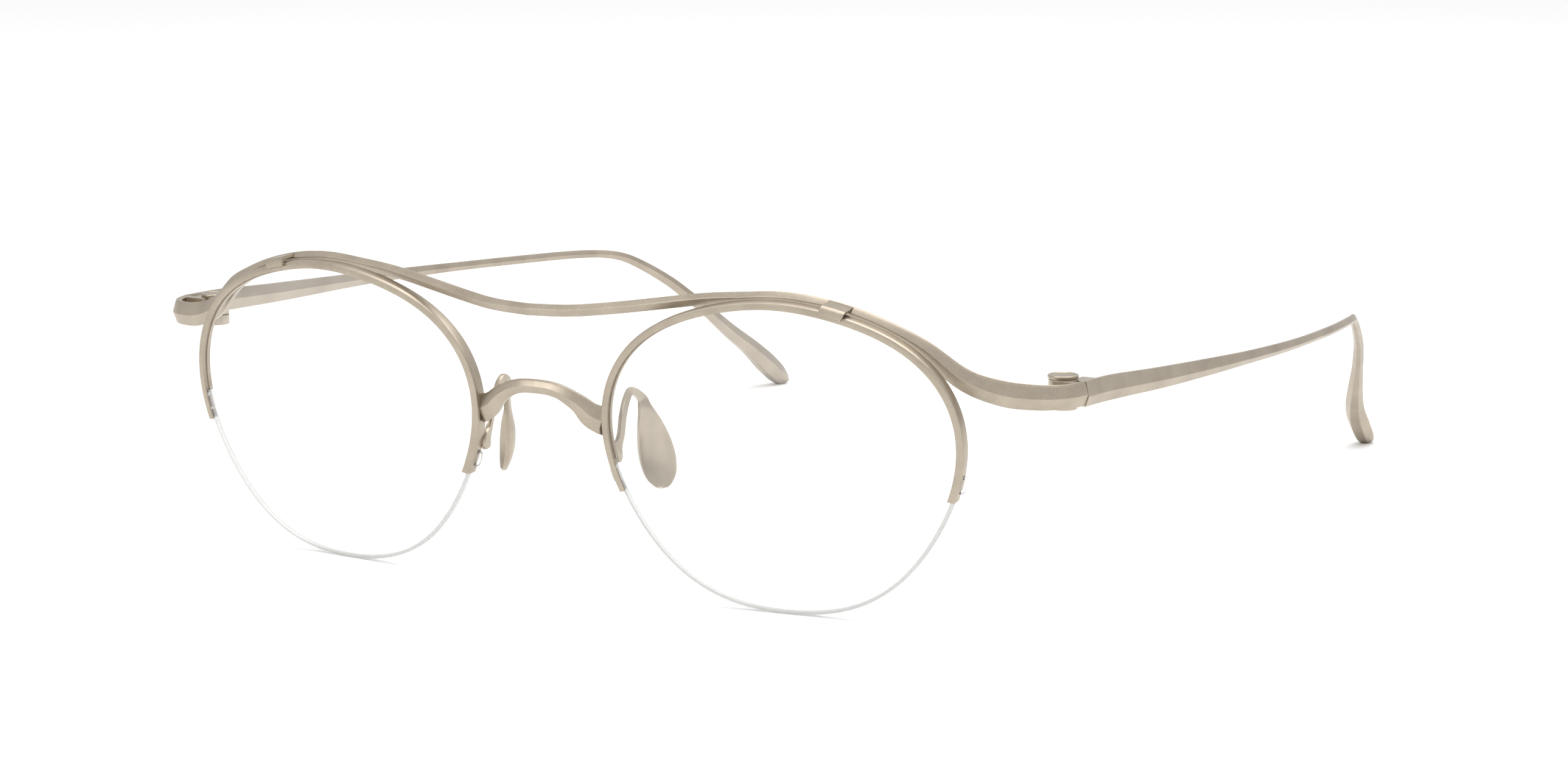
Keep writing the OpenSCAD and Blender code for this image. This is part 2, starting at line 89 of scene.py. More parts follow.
KNUCKLE_R, KNUCKLE_UP, KNUCKLE_MID, KNUCKLE_LOW = 1.85, 0.9, 1.25, 1.35
SCREW_R, HEAD_R, HEAD_H, WASHER_T = 0.6, 1.97, 0.55, 0.1
SEAM_REACH, TURN_GAP, FACE_GAP = 1.7, 0.03, 0.03
WALL_X = 4.6
TEMPLE_LEN, TEMPLE_H, TEMPLE_T = 145, 3.2, 1.4
WIRE_D, TIP_W, TIP_T = 1.2, 3.2, 3.5

LENS_X = BRIDGE_GAP / 2 + LENS_W / 2 * math.cos(math.radians(FACE_WRAP)) + 0.2
BEND_Y = TEMPLE_LEN - 48
CORD_R = CORD_D / 2
CORD_OUT = CORD_R - GROOVE_DEPTH
CORD_BACK = LENS_EDGE / 2
RIM_BACK = RIM_DEPTH - RIM_LIP - LENS_FIT
RIM_OUT = LENS_FIT + RIM_WALL
RIM_FRONT = -LENS_FIT - RIM_LIP


# ---- curves ----
def unit(v):
    return v / np.linalg.norm(v)


def mix(a, b, t):
    return a + (b - a) * t


def smooth(points, n):
    """A curve through the points, with n steps between neighbours."""
    p = np.array(points, float)
    p = np.vstack([2 * p[0] - p[1], p, 2 * p[-1] - p[-2]])
    line = []
    for a, b, c, d in zip(p, p[1:], p[2:], p[3:]):
        for t in np.arange(n) / n:
            line.append(0.5 * (2 * b + (c - a) * t + (2 * a - 5 * b + 4 * c - d) * t**2
                               + (3 * b - a - 3 * c + d) * t**3))
    return np.array(line + [p[-2]])


def eased(line, rounds):
    """The same curve with its small changes of bend evened out, ends kept."""
    for _ in range(rounds):
        line = np.vstack([line[:1], (line[:-2] + 2 * line[1:-1] + line[2:]) / 4, line[-1:]])
    return line


def travel(route):
    ahead = np.vstack([route[1:], route[-1:]])
    behind = np.vstack([route[:1], route[:-1]])
    return [unit(d) for d in ahead - behind]


def rounded(corners, radius, steps=3):
    """A section whose corners are turned by small arcs, as blasting and tumbling leave them."""
    points = []
    n = len(corners)
    corners = [np.array(c, float) for c in corners]
    for i, p in enumerate(corners):
        to_a, to_b = corners[i - 1] - p, corners[(i + 1) % n] - p
        cut = min(radius, 0.4 * np.linalg.norm(to_a), 0.4 * np.linalg.norm(to_b))
        a, b = p + unit(to_a) * cut, p + unit(to_b) * cut
        for t in np.linspace(0, 1, steps + 1):
            points.append((1 - t) ** 2 * a + 2 * t * (1 - t) * p + t * t * b)
    return points


def lay(at, t, section, beside=(0, 0, 1)):
    """A section's points laid across the direction of travel."""
    out = unit(np.cross(t, beside))
    up = np.cross(out, t)
    return [at + s[0] * out + s[1] * up for s in section]


# ---- lens frame: u across, v up, back = distance behind the lens's front surface ----
def turned(u, v, back):
    lean, wrap = math.radians(LEAN), math.radians(FACE_WRAP)
    y = back * math.cos(lean) - v * math.sin(lean)
    z = back * math.sin(lean) + v * math.cos(lean)
    return np.array([u * math.cos(wrap) - y * math.sin(wrap),
                     u * math.sin(wrap) + y * math.cos(wrap), z])


LENS_CENTRE = np.array([LENS_X, -LENS_REACH, -LENS_DROP])
LENS_AXIS = turned(0, 0, 1)


def outline(a):
    a = math.radians(a)
    return ((LENS_W + LENS_H) / 4 + (LENS_W - LENS_H) / 4 * math.cos(2 * a)
            + LENS_SHOULDER * math.sin(3 * a) + LENS_SQUARE * math.sin(5 * a))


def on_lens(u, v, back):
    return LENS_CENTRE + turned(u, v, (u * u + v * v) / (2 * LENS_CURVE_R) + back)


def at_edge(a, out, back, share=1):
    r = outline(a) * share + out
    return on_lens(r * math.cos(math.radians(a)), r * math.sin(math.radians(a)), back)


def ring(a, section):
    return [at_edge(a, s[0], s[1]) for s in section]


# ---- finishes ----
def paint(code, alpha=1):
    """An sRGB hex colour as the linear values that the shaders take."""
    parts = [int(code[i:i + 2], 16) / 255 for i in (1, 3, 5)]
    return (*[c / 12.92 if c <= 0.04045 else ((c + 0.055) / 1.055) ** 2.4 for c in parts], alpha)


def add(tree, kind, values=(), **settings):
    """Adds a node: settings are its own properties, values go to its inputs, a socket as a link."""
    made = tree.nodes.new(kind)
    for name, value in settings.items():
        setattr(made, name, value)
    for name, value in dict(values).items():
        if isinstance(value, bpy.types.NodeSocket):
            tree.links.new(value, made.inputs[name])
        else:
            made.inputs[name].default_value = value
    return made


def finish(name):
    made = bpy.data.materials.new(name)
    made.use_nodes = True
    tree = made.node_tree
    tree.nodes.clear()
    return made, tree, add(tree, "ShaderNodeTexCoord").outputs["Object"]


# Size of the slow tone changes across the metal, and how far its roughness strays
CLOUD_MM, SHEEN_SPREAD = 4, 0.05


def titanium(name, tone, light, roughness, grain_mm, depth_mm):
    """Titanium in a warm champagne tint: a metal, blasted or tumbled to a soft, even sheen."""
    made, tree, place = finish(name)
    grain = add(tree, "ShaderNodeTexNoise", {
        "Vector": place, "Scale": 1 / (grain_mm * MM), "Detail": 3})
    cloud = add(tree, "ShaderNodeTexNoise", {"Vector": place, "Scale": 1 / (CLOUD_MM * MM), "Detail": 2})
    both = add(tree, "ShaderNodeMath", {
        0: grain.outputs["Fac"], 1: cloud.outputs["Fac"]}, operation="ADD")
    tint = add(tree, "ShaderNodeValToRGB", {"Fac": add(
        tree, "ShaderNodeMath", {0: both.outputs[0], 1: 0.5}, operation="MULTIPLY").outputs[0]})
    tint.color_ramp.elements[0].position, tint.color_ramp.elements[0].color = 0.35, paint(tone)
    tint.color_ramp.elements[1].position, tint.color_ramp.elements[1].color = 0.65, paint(light)
    sheen = add(tree, "ShaderNodeMapRange", {
        "Value": grain.outputs["Fac"], "From Min": 0.3, "From Max": 0.7,
        "To Min": roughness - SHEEN_SPREAD, "To Max": roughness + SHEEN_SPREAD})
    pits = add(tree, "ShaderNodeBump", {
        "Height": grain.outputs["Fac"], "Distance": depth_mm * MM, "Strength": 1})
    shader = add(tree, "ShaderNodeBsdfPrincipled", {
        "Base Color": tint.outputs["Color"], "Metallic": 1, "Roughness": sheen.outputs["Result"],
        "Normal": pits.outputs["Normal"]})
    add(tree, "ShaderNodeOutputMaterial", {"Surface": shader.outputs[0]})
    return made


# Bead-blasted titanium: beads of about 0.1 mm leave an even satin, drawn at 0.16 mm to show
blasted = titanium("bead_blasted_titanium", "#A4998A", "#B7AC9C", 0.38, 0.16, 0.008)
# Pressed sheet titanium of the pads: tumbled after pressing, a little smoother
pressed = titanium("tumbled_titanium_sheet", "#A49989", "#B6AB9A", 0.34, 0.2, 0.006)
# Turned titanium of the hinge: finer, and a touch brighter where the tool has cut it
machined = titanium("turned_titanium", "#A79C8C", "#BAAF9E", 0.32, 0.12, 0.005)


def clear(name, colour, roughness, ior, transmission, alpha=1, grain_mm=0.3):
    """A clear plastic, hazed unevenly by a fine grain."""
    made, tree, place = finish(name)
    grain = add(tree, "ShaderNodeTexNoise", {
        "Vector": place, "Scale": 1 / (grain_mm * MM), "Detail": 2})
    veil = add(tree, "ShaderNodeMapRange", {
        "Value": grain.outputs["Fac"], "To Min": roughness * 0.8, "To Max": roughness * 1.2})
    shader = add(tree, "ShaderNodeBsdfPrincipled", {
        "Base Color": paint(colour), "IOR": ior, "Transmission Weight": transmission,
        "Roughness": veil.outputs["Result"], "Alpha": alpha})
    add(tree, "ShaderNodeOutputMaterial", {"Surface": shader.outputs[0]})
    return made


# Cast lens plastic, hard-coated against reflections: almost nothing of it shows but a faint gleam
polished_lens = clear("polished_lens_plastic", "#FFFFFF", 0.02, 1.5, 0, 0.05)
# The same plastic as the grinding wheel leaves it at the edge and in the groove: a white frost
ground_lens = clear("ground_lens_edge", "#CFCFCC", 0.5, 1.5, 0, 0.5, 0.12)
# Drawn nylon line: clear and smooth, with a slight haze
nylon = clear("drawn_nylon", "#F6F7F6", 0.08, 1.53, 0.9)


def bronze(name):
    """Stamped bronze washer, dark with use: metal with small stains."""
    made, tree, place = finish(name)
    stain = add(tree, "ShaderNodeTexNoise", {"Vector": place, "Scale": 1 / (0.5 * MM), "Detail": 3})
    tint = add(tree, "ShaderNodeValToRGB", {"Fac": stain.outputs["Fac"]})
    for stop, code in zip(tint.color_ramp.elements, ("#5F5547", "#8D7F6C")):
        stop.color = paint(code)
    shader = add(tree, "ShaderNodeBsdfPrincipled", {
        "Base Color": tint.outputs["Color"], "Metallic": 1, "Roughness": 0.5})
    add(tree, "ShaderNodeOutputMaterial", {"Surface": shader.outputs[0]})
    return made


washer_bronze = bronze("worn_bronze")


# ---- making pieces ----
WELD, SHARP = 0.0002, math.radians(50)


def shaped(name, mesh, materials, side=1):
    """An object from a mesh in millimetres, mirrored for the left side, its normals outwards."""
    for v in mesh.verts:
        v.co = Vector((v.co.x * side, v.co.y, v.co.z)) * MM + ORIGIN
    bmesh.ops.recalc_face_normals(mesh, faces=mesh.faces)
    for f in mesh.faces:
        f.smooth = True
    data = bpy.data.meshes.new(name)
    mesh.to_mesh(data)
    mesh.free()
    for m in materials:
        data.materials.append(m)
    made = bpy.data.objects.new(name, data)
    bpy.context.scene.collection.objects.link(made)
    return made


def settled(made, body, slot, *nodes):
    """Evens the shading over the small corner arcs, then puts the piece on its body."""
    made.modifiers.new("even shading", "WEIGHTED_NORMAL").keep_sharp = True
    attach(made, body)
    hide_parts(*nodes)
    return made


def skin(rings):
    """A closed mesh over rings of equal count, with a flat cap at each end."""
    mesh = bmesh.new()
    rows = [[mesh.verts.new(p) for p in r] for r in rings]
    n = len(rows[0])
    for a, b in zip(rows, rows[1:]):
        for k in range(n):
            mesh.faces.new((a[k], a[(k + 1) % n], b[(k + 1) % n], b[k]))
    mesh.faces.new(rows[0])
    mesh.faces.new(rows[-1])
    return mesh


def without(made, *cutters):
    """made with the cutters taken out of it; the cutters go."""
    for c in cutters:
        cut = made.modifiers.new("cut", "BOOLEAN")
        cut.operation, cut.solver, cut.object = "DIFFERENCE", "EXACT", c
    return baked(made, cutters)


def with_all(made, *others):
    """made with the others joined to it; the others go."""
    for o in others:
        cut = made.modifiers.new("join", "BOOLEAN")
        cut.operation, cut.solver, cut.object = "UNION", "EXACT", o
    return baked(made, others)


def baked(made, used):
    """Settles made's cuts and joins into its mesh, welds doubled points and drops what was used."""
    bpy.context.view_layer.update()
    graph = bpy.context.evaluated_depsgraph_get()
    data = bpy.data.meshes.new_from_object(made.evaluated_get(graph))
    mesh = bmesh.new()
    mesh.from_mesh(data)
    bmesh.ops.remove_doubles(mesh, verts=mesh.verts, dist=WELD * MM)
    mesh.to_mesh(data)
    mesh.free()
    made.modifiers.clear()
    made.data = data
    for o in used:
        bpy.data.objects.remove(o)
    for p in data.polygons:
        p.use_smooth = True
    data.set_sharp_from_angle(angle=SHARP)
    return made


def lathe(profile, steps=64):
    """A turned shape around the hinge axis: profile is radius and height from top to bottom."""
    mesh = bmesh.new()
    rows = []
    for r, z in profile:
        if r < 1e-6:
            rows.append([mesh.verts.new((HINGE_X, 0, z))])
        else:
            rows.append([mesh.verts.new((HINGE_X + r * math.cos(a), r * math.sin(a), z))
                         for a in np.linspace(0, math.tau, steps, endpoint=False)])
    for a, b in zip(rows, rows[1:]):
        for k in range(steps):
            j = (k + 1) % steps
            corners = [a[k % len(a)], a[j % len(a)], b[j % len(b)], b[k % len(b)]]
            mesh.faces.new(list(dict.fromkeys(corners)))
    return mesh


def drum(top, bottom, r, bore=0, edge=0.08):
    profile = rounded([(bore, top), (r, top), (r, bottom), (bore, bottom)], edge, 4)
    if bore:
        return lathe(profile + profile[:1])
    return lathe([(0, top)] + [p for p in profile if p[0] > edge] + [(0, bottom)])


def block(lo, hi, edge=0.07):
    mesh = bmesh.new()
    bmesh.ops.create_cube(mesh, size=1)
    lo, hi = Vector(lo), Vector(hi)
    for v in mesh.verts:
        v.co = Vector([lo[i] + (v.co[i] + 0.5) * (hi[i] - lo[i]) for i in range(3)])
    bmesh.ops.bevel(mesh, geom=mesh.edges[:], offset=edge, segments=2, profile=0.7, affect="EDGES")
    return mesh


# ---- brow bar ----
def roof(h, up, t, slope):
    """Roof-shaped section with its ridge at the origin: up is the height above the ridge."""
    return rounded([(0, 0), (-slope * 0.9, up - 0.12 * h), (-slope - 0.15, up), (-t, up - 0.15),
                    (-t, up - h + 0.2), (-slope - 0.1, up - h)], 0.07)


def brow_bar():
    # Place of the ridge, and how far the height has grown from the bridge to the end piece
    stops = [(0, -BAR_MID_REACH, BAR_MID_Z, 0), (6, -BAR_MID_REACH + 0.5, BAR_MID_Z + 0.2, 0)]
    for a, out, back, grow in [
            (142, 4.8, -2.7, 0), (132, 2.15, -1.2, 0), (118, 0.7, -0.3, 0), (103, 0, 0, 0),
            (88, 0, 0, 0.03), (72, 0, 0, 0.08), (57, 0, 0, 0.1), (45, 0, 0, 0.22),
            (36, 0.25, 0.1, 0.45), (24, 1.1, 0.7, 0.75)]:
        stops.append((*at_edge(a, BAR_RISE + out, BAR_BACK + back), grow))
    stops += [(HINGE_X - 3.8, -9.6, -1.6, 1), (HINGE_X - 0.8, -8.5, -1.95, 1),
              (HINGE_X + 1.8, -7.2, -2, 0.95), (HINGE_X + 3.6, -4.9, -2, 0.9),
              (HINGE_X + WALL_X - 0.2, -SEAM_REACH - FACE_GAP, -2, 0.92)]
    line = eased(smooth(stops, 12), 12)
    route = line[:, :3]
    ways = travel(route)
    ways[0], ways[-1] = np.array([1, 0, 0]), np.array([0, 1, 0])
    half = []
    for at, t, grow in zip(route, ways, line[:, 3]):
        h = mix(BAR_H, BAR_END_H, grow)
        half.append(lay(at, t, roof(h, mix(0.42, 0.55, grow) * h, BAR_T, mix(0.5, 0.4, grow))))
    other = [[p * (-1, 1, 1) for p in r] for r in half[:0:-1]]
    made = shaped("brow_bar_piece", skin(other + half), [blasted])
    low, back = CLIP_TOP - CLIP_T - CLIP_GAP, CLIP_BACK + CLIP_GAP
    room = [ring(a, [(low, -1.5), (low, back), (low + 1, back), (low + 1, -1.5)])
            for a in (CLIP_ANGLES[0] - 0.2, CLIP_ANGLES[1] + 0.2)]
    made = without(made, *[shaped("recess", skin(room), [blasted], side) for side in SIDES.values()])
    return settled(made, "front", "titanium_frame", "brow_bar")


# ---- clips: a folded strip whose lid lies in the bar and whose face holds the rim ----
def bar_clip(side):
    front, low = RIM_FRONT - CLIP_T, RIM_EDGE - 0.3
    inside = CLIP_TOP - CLIP_T
    corners = [(low, RIM_FRONT), (inside, RIM_FRONT), (inside, CLIP_BACK), (CLIP_TOP, CLIP_BACK),
               (CLIP_TOP, front + 0.3), (CLIP_TOP - 0.3, front), (low, front)]
    section = rounded(corners, 0.1, 4)
    a0, a1 = CLIP_ANGLES
    steps = [a0, a0 + 0.12, a0 + 0.3, *np.linspace(a0 + 0.6, a1 - 0.6, 12), a1 - 0.3, a1 - 0.12, a1]
    made = shaped(f"bar_clip_piece_{side}", skin([ring(a, section) for a in steps]),
                  [blasted], SIDES[side])
    return settled(made, "front", "titanium_frame", f"bar_clip_{side}")


# ---- rims ----
def rim(side):
    """The upper rim: its inner wall is solid where the rib stands and thin by the cord's holes."""
    inner, lip_back = RIM_EDGE - RIM_FACE, RIM_FRONT + RIM_LIP

    def section(a):
        ribbed = TEMPLE_HOLES[1] + WALL_PAST < a < NOSE_HOLES[1] - WALL_PAST
        wall = inner + 0.02 if ribbed else LENS_FIT
        return rounded([(inner, RIM_FRONT), (inner, lip_back), (wall, lip_back), (wall, RIM_BACK),
                        (RIM_OUT, RIM_BACK), (RIM_OUT, 0.1), (RIM_EDGE, RIM_FRONT)], 0.06, 3)

    a0, a1 = RIM_ENDS
    steps = [a0, a0 + 0.15] + list(np.arange(a0 + 1, a1 - 0.5, 1)) + [a1 - 0.15, a1]
    made = shaped(f"rim_piece_{side}", skin([ring(a, section(a)) for a in steps]),
                  [blasted], SIDES[side])
    drills = []
    for a in TEMPLE_HOLES + NOSE_HOLES:
        start = at_edge(a, 0, CORD_BACK)
        way = unit(at_edge(a, 1, CORD_BACK) - start)
        drill = skin([lay(start + way * d, way, round_section(CORD_R + HOLE_GAP, 24), LENS_AXIS)
                      for d in (HOLE_FROM, HOLE_TO)])
        drills.append(shaped("drill", drill, [blasted], SIDES[side]))
    return settled(without(made, *drills), "front", "titanium_frame", f"rim_{side}")


def round_section(r, n=16):
    return [(r * math.cos(a), r * math.sin(a)) for a in np.linspace(0, math.tau, n, endpoint=False)]


def rim_liner(side):
    """The metal rib that stands in the upper half of the lens's groove."""
    w = GROOVE_W / 2 - 0.03
    section = rounded([(-RIB_REACH, CORD_BACK - w), (-RIB_REACH, CORD_BACK + w),
                       (LENS_FIT, CORD_BACK + w), (LENS_FIT, CORD_BACK - w)], 0.06)
    steps = np.arange(TEMPLE_HOLES[1] + RIB_PAST, NOSE_HOLES[1] - RIB_PAST, 1)
    made = shaped(f"rim_liner_piece_{side}", skin([ring(a, section) for a in steps]),
                  [blasted], SIDES[side])
    return settled(made, "front", "titanium_frame", f"rim_liner_{side}")


# ---- lenses: polished faces, and an edge and groove left frosted by the grinding wheel ----
def lens(side):
    g, bevel, soft, corner = GROOVE_W / 2, LENS_BEVEL, GROOVE_SOFT, GROOVE_CORNER
    face = [(share, 0, 0) for share in (0.04, 0.2, 0.35, 0.5, 0.65, 0.8, 0.9, 0.96)]
    edge = [(1, -bevel, 0), (1, 0, bevel), (1, 0, CORD_BACK - g),
            (1, -GROOVE_DEPTH + soft, CORD_BACK - g), (1, -GROOVE_DEPTH, CORD_BACK - g + corner),
            (1, -GROOVE_DEPTH, CORD_BACK + g - corner), (1, -GROOVE_DEPTH + soft, CORD_BACK + g),
            (1, 0, CORD_BACK + g), (1, 0, LENS_EDGE - bevel), (1, -bevel, LENS_EDGE)]
    back = [(s, o, LENS_EDGE) for s, o, _ in face[::-1]]
    rows = [[at_edge(a, out, depth, share) for a in np.arange(0, 360, 2)]
            for share, out, depth in face + edge + back]
    mesh = skin(rows)
    mesh.faces.ensure_lookup_table()
    per_row = len(rows[0])
    for i in range(len(face), len(face) + len(edge) - 1):
        for f in mesh.faces[i * per_row:(i + 1) * per_row]:
            f.material_index = 1
    made = shaped(f"lens_piece_{side}", mesh, [polished_lens, ground_lens], SIDES[side])
    made.data.set_sharp_from_angle(angle=math.radians(35))
    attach(made, "front")
    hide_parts(f"lens_{side}")
    return made


# ---- nylon cords: out of the groove by one hole, round the outside and back by the other ----
def cord_end(holes, way):
    top = RIM_OUT + CORD_R + 0.1
    return [at_edge(holes[1], CORD_OUT, CORD_BACK), at_edge(holes[1], RIM_OUT, CORD_BACK),
            at_edge(holes[1] - way * 0.6, top, CORD_BACK), at_edge(holes[0] + way * 0.6, top, CORD_BACK),
            at_edge(holes[0], RIM_OUT, CORD_BACK),
            at_edge(holes[0] - way * 0.3, CORD_OUT + 0.1, CORD_BACK)]


def nylon_cord(side):
    below = np.arange(TEMPLE_HOLES[0] - 4, NOSE_HOLES[0] - 357, -2)
    way = [at_edge(a, CORD_OUT, CORD_BACK) for a in below]
    route = np.vstack([smooth(cord_end(TEMPLE_HOLES, 1), 6), way,
                       smooth(cord_end(NOSE_HOLES, -1), 6)[::-1]])
    rings = []
    for at, t in zip(route, travel(route)):
        out = unit(np.cross(t, LENS_AXIS))
        up = np.cross(out, t)
        rings.append([at + x * out + y * up for x, y in round_section(CORD_R)])
    made = shaped(f"nylon_cord_piece_{side}", skin(rings), [nylon], SIDES[side])
    return settled(made, "front", "clear_nylon", f"nylon_cord_{side}")


# ---- lower bridge ----
ARCH_AT = 174.2


def bridge_arch():
    foot = at_edge(ARCH_AT, RIM_OUT - 0.1, 0.05)
    crown = np.array([0, -ARCH_REACH, -ARCH_DROP])
    # Share of the way from the crown to the foot in x, y and z, then height as a share of the crown's
    stops = [(0, 0, 0, 1), (0.2, 0.02, 0.02, 1), (0.36, 0.1, 0.1, 1.03), (0.52, 0.22, 0.27, 1.15),
             (0.68, 0.42, 0.5, 1.35), (0.83, 0.66, 0.82, 1.75), (1, 1, 1, 2)]
    inward = at_edge(ARCH_AT, 0, 0) - at_edge(ARCH_AT, 1, 0)
    into_rim = unit(inward - LENS_AXIS * (inward @ LENS_AXIS))
    line = eased(smooth(stops, 10), 8)
    route = crown + (foot - crown) * line[:, :3]
    ways = travel(route)
    ways[0], ways[-1] = np.array([1, 0, 0]), into_rim
    half = []
    for at, t, grow in zip(route, ways, line[:, 3]):
        half.append(lay(at, t, roof(grow * ARCH_H, 0.5 * grow * ARCH_H, ARCH_T, 0.4)))
    other = [[p * (-1, 1, 1) for p in r] for r in half[:0:-1]]
    made = shaped("bridge_arch_piece", skin(other + half), [blasted])
    return settled(made, "front", "titanium_frame", "bridge_arch")


# ---- nose pads: a J cut from sheet, its foot soldered on edge behind the rim ----
def nose_pad(side):
    foot = at_edge(186.3, RIM_OUT + 0.05, RIM_BACK)
    top = foot + (-0.15, 6.2, 8.25)
    low = np.array([top[0] + 2.7, top[1] + 2.2, top[2] - PAD_L - 1.6])
    # Place from the foot, then the width as a share of the arm's
    arm = [(0, 0.85, -0.6, 1.5), (0, 0.8, -0.1, 2.1), (0, 0.85, 0.9, 2.1), (0.02, 1.45, 1.9, 1.2),
           (0.05, 1.95, 3, 1), (0, 2.5, 5.2, 1), (-0.05, 3.5, 7.3, 1), (-0.1, 4.8, 8.2, 1.05)]
    stops = [(*(foot + p[:3]), p[3] * ARM_W, 0, 15) for p in arm]
    # Share of the way down the pad, width, dish, and which way the sheet faces in degrees
    for way, width, dish, facing in [
            (0.09, 0.25, 0, 16), (0.2, 0.42, 0.05, 22), (0.36, 0.72, 0.35, 32), (0.55, 0.95, 0.9, 40),
            (0.72, 1, 1, 42), (0.87, 0.85, 0.7, 42), (0.965, 0.5, 0.3, 42), (1, 0.2, 0.1, 42)]:
        at = [mix(top[k], low[k], way ** (1 if k == 2 else 0.75)) for k in range(3)]
        stops.append((*at, width * PAD_W, dish * PAD_DISH, facing))
    line = smooth(stops, 8)
    route = line[:, :3]
    rings = []
    for at, t, (width, dish, facing) in zip(route, travel(route), line[:, 3:]):
        facing = math.radians(facing)
        w = unit(np.cross([math.cos(facing), -math.sin(facing), 0], t))
        n = np.cross(t, w)
        across = [-1, -0.97, -0.85, -0.6, -0.3, 0, 0.3, 0.6, 0.85, 0.97, 1]
        upper = [(s, 0.5 if abs(s) < 0.99 else 0.42) for s in across]
        lower = [(s, -h) for s, h in upper[::-1]]
        rings.append([at + s * width / 2 * w + (h * PAD_T - dish * (1 - s * s)) * n
                      for s, h in upper + lower])
    made = shaped(f"nose_pad_piece_{side}", skin(rings), [pressed], SIDES[side])
    made.data.set_sharp_from_angle(angle=math.radians(40))
    return settled(made, "front", "titanium_pads", f"nose_pad_{side}")


# ---- hinges: heights run down from the top of the screw's head ----
Z_UP = -HEAD_H - KNUCKLE_UP
Z_MID_TOP = Z_UP - WASHER_T - 2 * FACE_GAP
Z_MID = Z_MID_TOP - KNUCKLE_MID
Z_LOW_TOP = Z_MID - WASHER_T - 2 * FACE_GAP
Z_LOW = Z_LOW_TOP - KNUCKLE_LOW
LEAF_H = 2.9
# Room around a knuckle where the other half turns past it, and the edge of a cutting drum
SWEEP_GAP, CUT_EDGE = 0.08, 0.01


def hinge_front(side):
    way = SIDES[side]
    leaf_x, leaf_top = WALL_X - BAR_T - 0.1, -HEAD_H + 0.1
    x0 = HINGE_X
    pieces = [
        shaped("knuckle", drum(Z_LOW_TOP, Z_LOW, KNUCKLE_R, edge=0.12), [machined], way),
        shaped("leaf", block((x0, -SEAM_REACH - 1.3, leaf_top - LEAF_H),
                             (x0 + leaf_x, -SEAM_REACH - FACE_GAP, leaf_top)), [machined], way),
        shaped("leaf", block((x0, -SEAM_REACH - 0.1, leaf_top - LEAF_H),
                             (x0 + KNUCKLE_R + 0.4, -0.1, leaf_top)), [machined], way)]
    made = shaped(f"hinge_front_piece_{side}", drum(-HEAD_H, Z_UP, KNUCKLE_R), [machined], way)
    slot = drum(Z_UP, Z_LOW_TOP, KNUCKLE_R + SWEEP_GAP, edge=CUT_EDGE)
    bore = drum(1, Z_LOW - 1, SCREW_R, edge=CUT_EDGE)
    made = without(with_all(made, *pieces), shaped("slot", slot, [machined], way),
                   shaped("bore", bore, [machined], way))
    return settled(made, "front", "titanium_hinge", f"hinge_front_{side}")


def hinge_rear(side):
    way = SIDES[side]
    leaf_x = WALL_X - TEMPLE_T + 0.1
    x0 = HINGE_X
    made = shaped(f"hinge_rear_piece_{side}", drum(Z_MID_TOP, Z_MID, KNUCKLE_R), [machined], way)
    plate = shaped("plate", block((x0 + 1, FACE_GAP, -3.3), (x0 + leaf_x, 3.4, -0.7)), [machined], way)
    sweep = drum(0, -5, KNUCKLE_R + SWEEP_GAP, edge=CUT_EDGE)
    plate = without(plate, shaped("sweep", sweep, [machined], way))
    tongue = shaped("tongue", block((x0 + 0.8, FACE_GAP, Z_MID), (x0 + leaf_x, 3, Z_MID_TOP)),
                    [machined], way)
    made = with_all(made, plate, tongue)
    bore = drum(1, Z_LOW - 1, SCREW_R + TURN_GAP, edge=CUT_EDGE)
    made = without(made, shaped("bore", bore, [machined], way))
    return settled(made, f"temple_{side}", "titanium_hinge", f"hinge_rear_{side}")


def hinge_screw(side):
    """A wide low cap with a shallow dish inside a thin raised rim, on a shaft."""
    # Radius and height, from the middle of the cap down to the end of the shaft
    profile = [(0, -0.16), (0.6, -0.155), (1.1, -0.14), (1.45, -0.11), (1.58, -0.06), (1.64, -0.015),
               (1.7, 0), (1.82, 0), (1.9, -0.03), (1.95, -0.09), (HEAD_R, -0.16), (HEAD_R, -0.38),
               (1.95, -0.43), (1.9, -0.46), (1.78, -0.47), (1.76, -HEAD_H), (SCREW_R, -HEAD_H),
               (SCREW_R, Z_LOW + 0.15), (SCREW_R - 0.1, Z_LOW + 0.05), (0, Z_LOW + 0.05)]
    made = shaped(f"hinge_screw_piece_{side}", lathe(profile, 96), [machined], SIDES[side])
    made.data.set_sharp_from_angle(angle=math.radians(60))
    return settled(made, "front", "titanium_hinge", f"hinge_screw_{side}")


def hinge_washers(side):
    made = None
    for top in (Z_UP - FACE_GAP, Z_MID - FACE_GAP):
        mesh = drum(top, top - WASHER_T, KNUCKLE_R - 0.1, SCREW_R + TURN_GAP, 0.02)
        one = shaped(f"hinge_washers_piece_{side}", mesh, [washer_bronze], SIDES[side])
        made = with_all(made, one) if made else one
    return settled(made, "front", "hinge_washer", f"hinge_washers_{side}")


# ---- temples ----
def leaf_section(h, t, s):
    return rounded([(t / 2, -0.1 * h), (t / 2 - s, h / 2), (s - t / 2, h / 2), (-t / 2, 0),
                    (s - t / 2, -h / 2), (t / 2 - s, -h / 2)], 0.1, 4)


